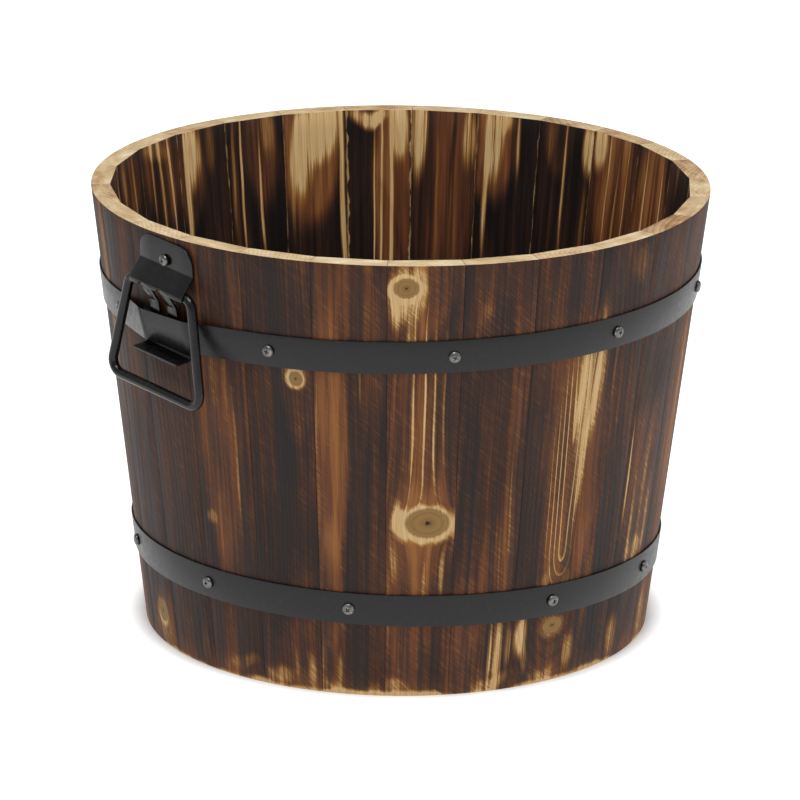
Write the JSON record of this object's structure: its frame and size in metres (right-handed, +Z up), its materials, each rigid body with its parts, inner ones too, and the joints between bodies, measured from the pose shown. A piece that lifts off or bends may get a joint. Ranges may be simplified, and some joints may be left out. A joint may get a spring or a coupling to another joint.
{
  "type": "wooden barrel planter",
  "caption": "Half-barrel planter of charred tapered staves in two screwed black strap hoops, with a drop handle in a stamped bracket on each side and a boarded base.",
  "frame": {"origin": "on the floor, under the middle of the barrel", "axes": "+Z up along the barrel's axis, handles on -X and +X, -Y the front"},
  "size_m": [0.3948, 0.3798, 0.278],
  "materials": {
    "charred_wood": "flame-charred softwood, wire-brushed and clear sealed, satin",
    "board_wood": "lightly charred softwood, matt",
    "black_steel": "black stove enamel, semi-gloss",
    "screw_steel": "black-oxide pan-head screws, worn bright at the rims"
  },
  "bodies": {
    "barrel": {"stave_01": "charred_wood", "stave_02": "charred_wood", "stave_03": "charred_wood", "stave_04": "charred_wood", "stave_05": "charred_wood", "stave_06": "charred_wood", "stave_07": "charred_wood", "stave_08": "charred_wood", "stave_09": "charred_wood", "stave_10": "charred_wood", "stave_11": "charred_wood", "stave_12": "charred_wood", "stave_13": "charred_wood", "stave_14": "charred_wood", "stave_15": "charred_wood", "stave_16": "charred_wood", "stave_17": "charred_wood", "stave_18": "charred_wood", "stave_19": "charred_wood", "stave_20": "charred_wood", "stave_21": "charred_wood", "stave_22": "charred_wood", "stave_23": "charred_wood", "stave_24": "charred_wood", "stave_25": "charred_wood", "stave_26": "charred_wood", "base_board_1": "board_wood", "base_board_2": "board_wood", "base_board_3": "board_wood", "upper_hoop": "black_steel", "lower_hoop": "black_steel", "upper_hoop_screw_1": "screw_steel", "upper_hoop_screw_2": "screw_steel", "upper_hoop_screw_3": "screw_steel", "upper_hoop_screw_4": "screw_steel", "upper_hoop_screw_5": "screw_steel", "upper_hoop_screw_6": "screw_steel", "upper_hoop_screw_7": "screw_steel", "upper_hoop_screw_8": "screw_steel", "upper_hoop_screw_9": "screw_steel", "upper_hoop_screw_10": "screw_steel", "lower_hoop_screw_1": "screw_steel", "lower_hoop_screw_2": "screw_steel", "lower_hoop_screw_3": "screw_steel", "lower_hoop_screw_4": "screw_steel", "lower_hoop_screw_5": "screw_steel", "lower_hoop_screw_6": "screw_steel", "lower_hoop_screw_7": "screw_steel", "lower_hoop_screw_8": "screw_steel", "lower_hoop_screw_9": "screw_steel", "lower_hoop_screw_10": "screw_steel", "left_bracket": "black_steel", "left_bracket_screw": "screw_steel", "right_bracket": "black_steel", "right_bracket_screw": "screw_steel"},
    "left_handle": {"left_ring": "black_steel"},
    "right_handle": {"right_ring": "black_steel"}
  },
  "joints": [
    {"name": "left_handle_swing", "type": "hinge", "parent": "barrel", "child": "left_handle", "pos_m": [-0.19226, 0, 0.2461], "axis": [0, 0.9971, 0.0767], "range_deg": [-5, 182]},
    {"name": "right_handle_swing", "type": "hinge", "parent": "barrel", "child": "right_handle", "pos_m": [0.19226, 0, 0.2461], "axis": [0, -1, 0], "range_deg": [-5, 182]}
  ]
}
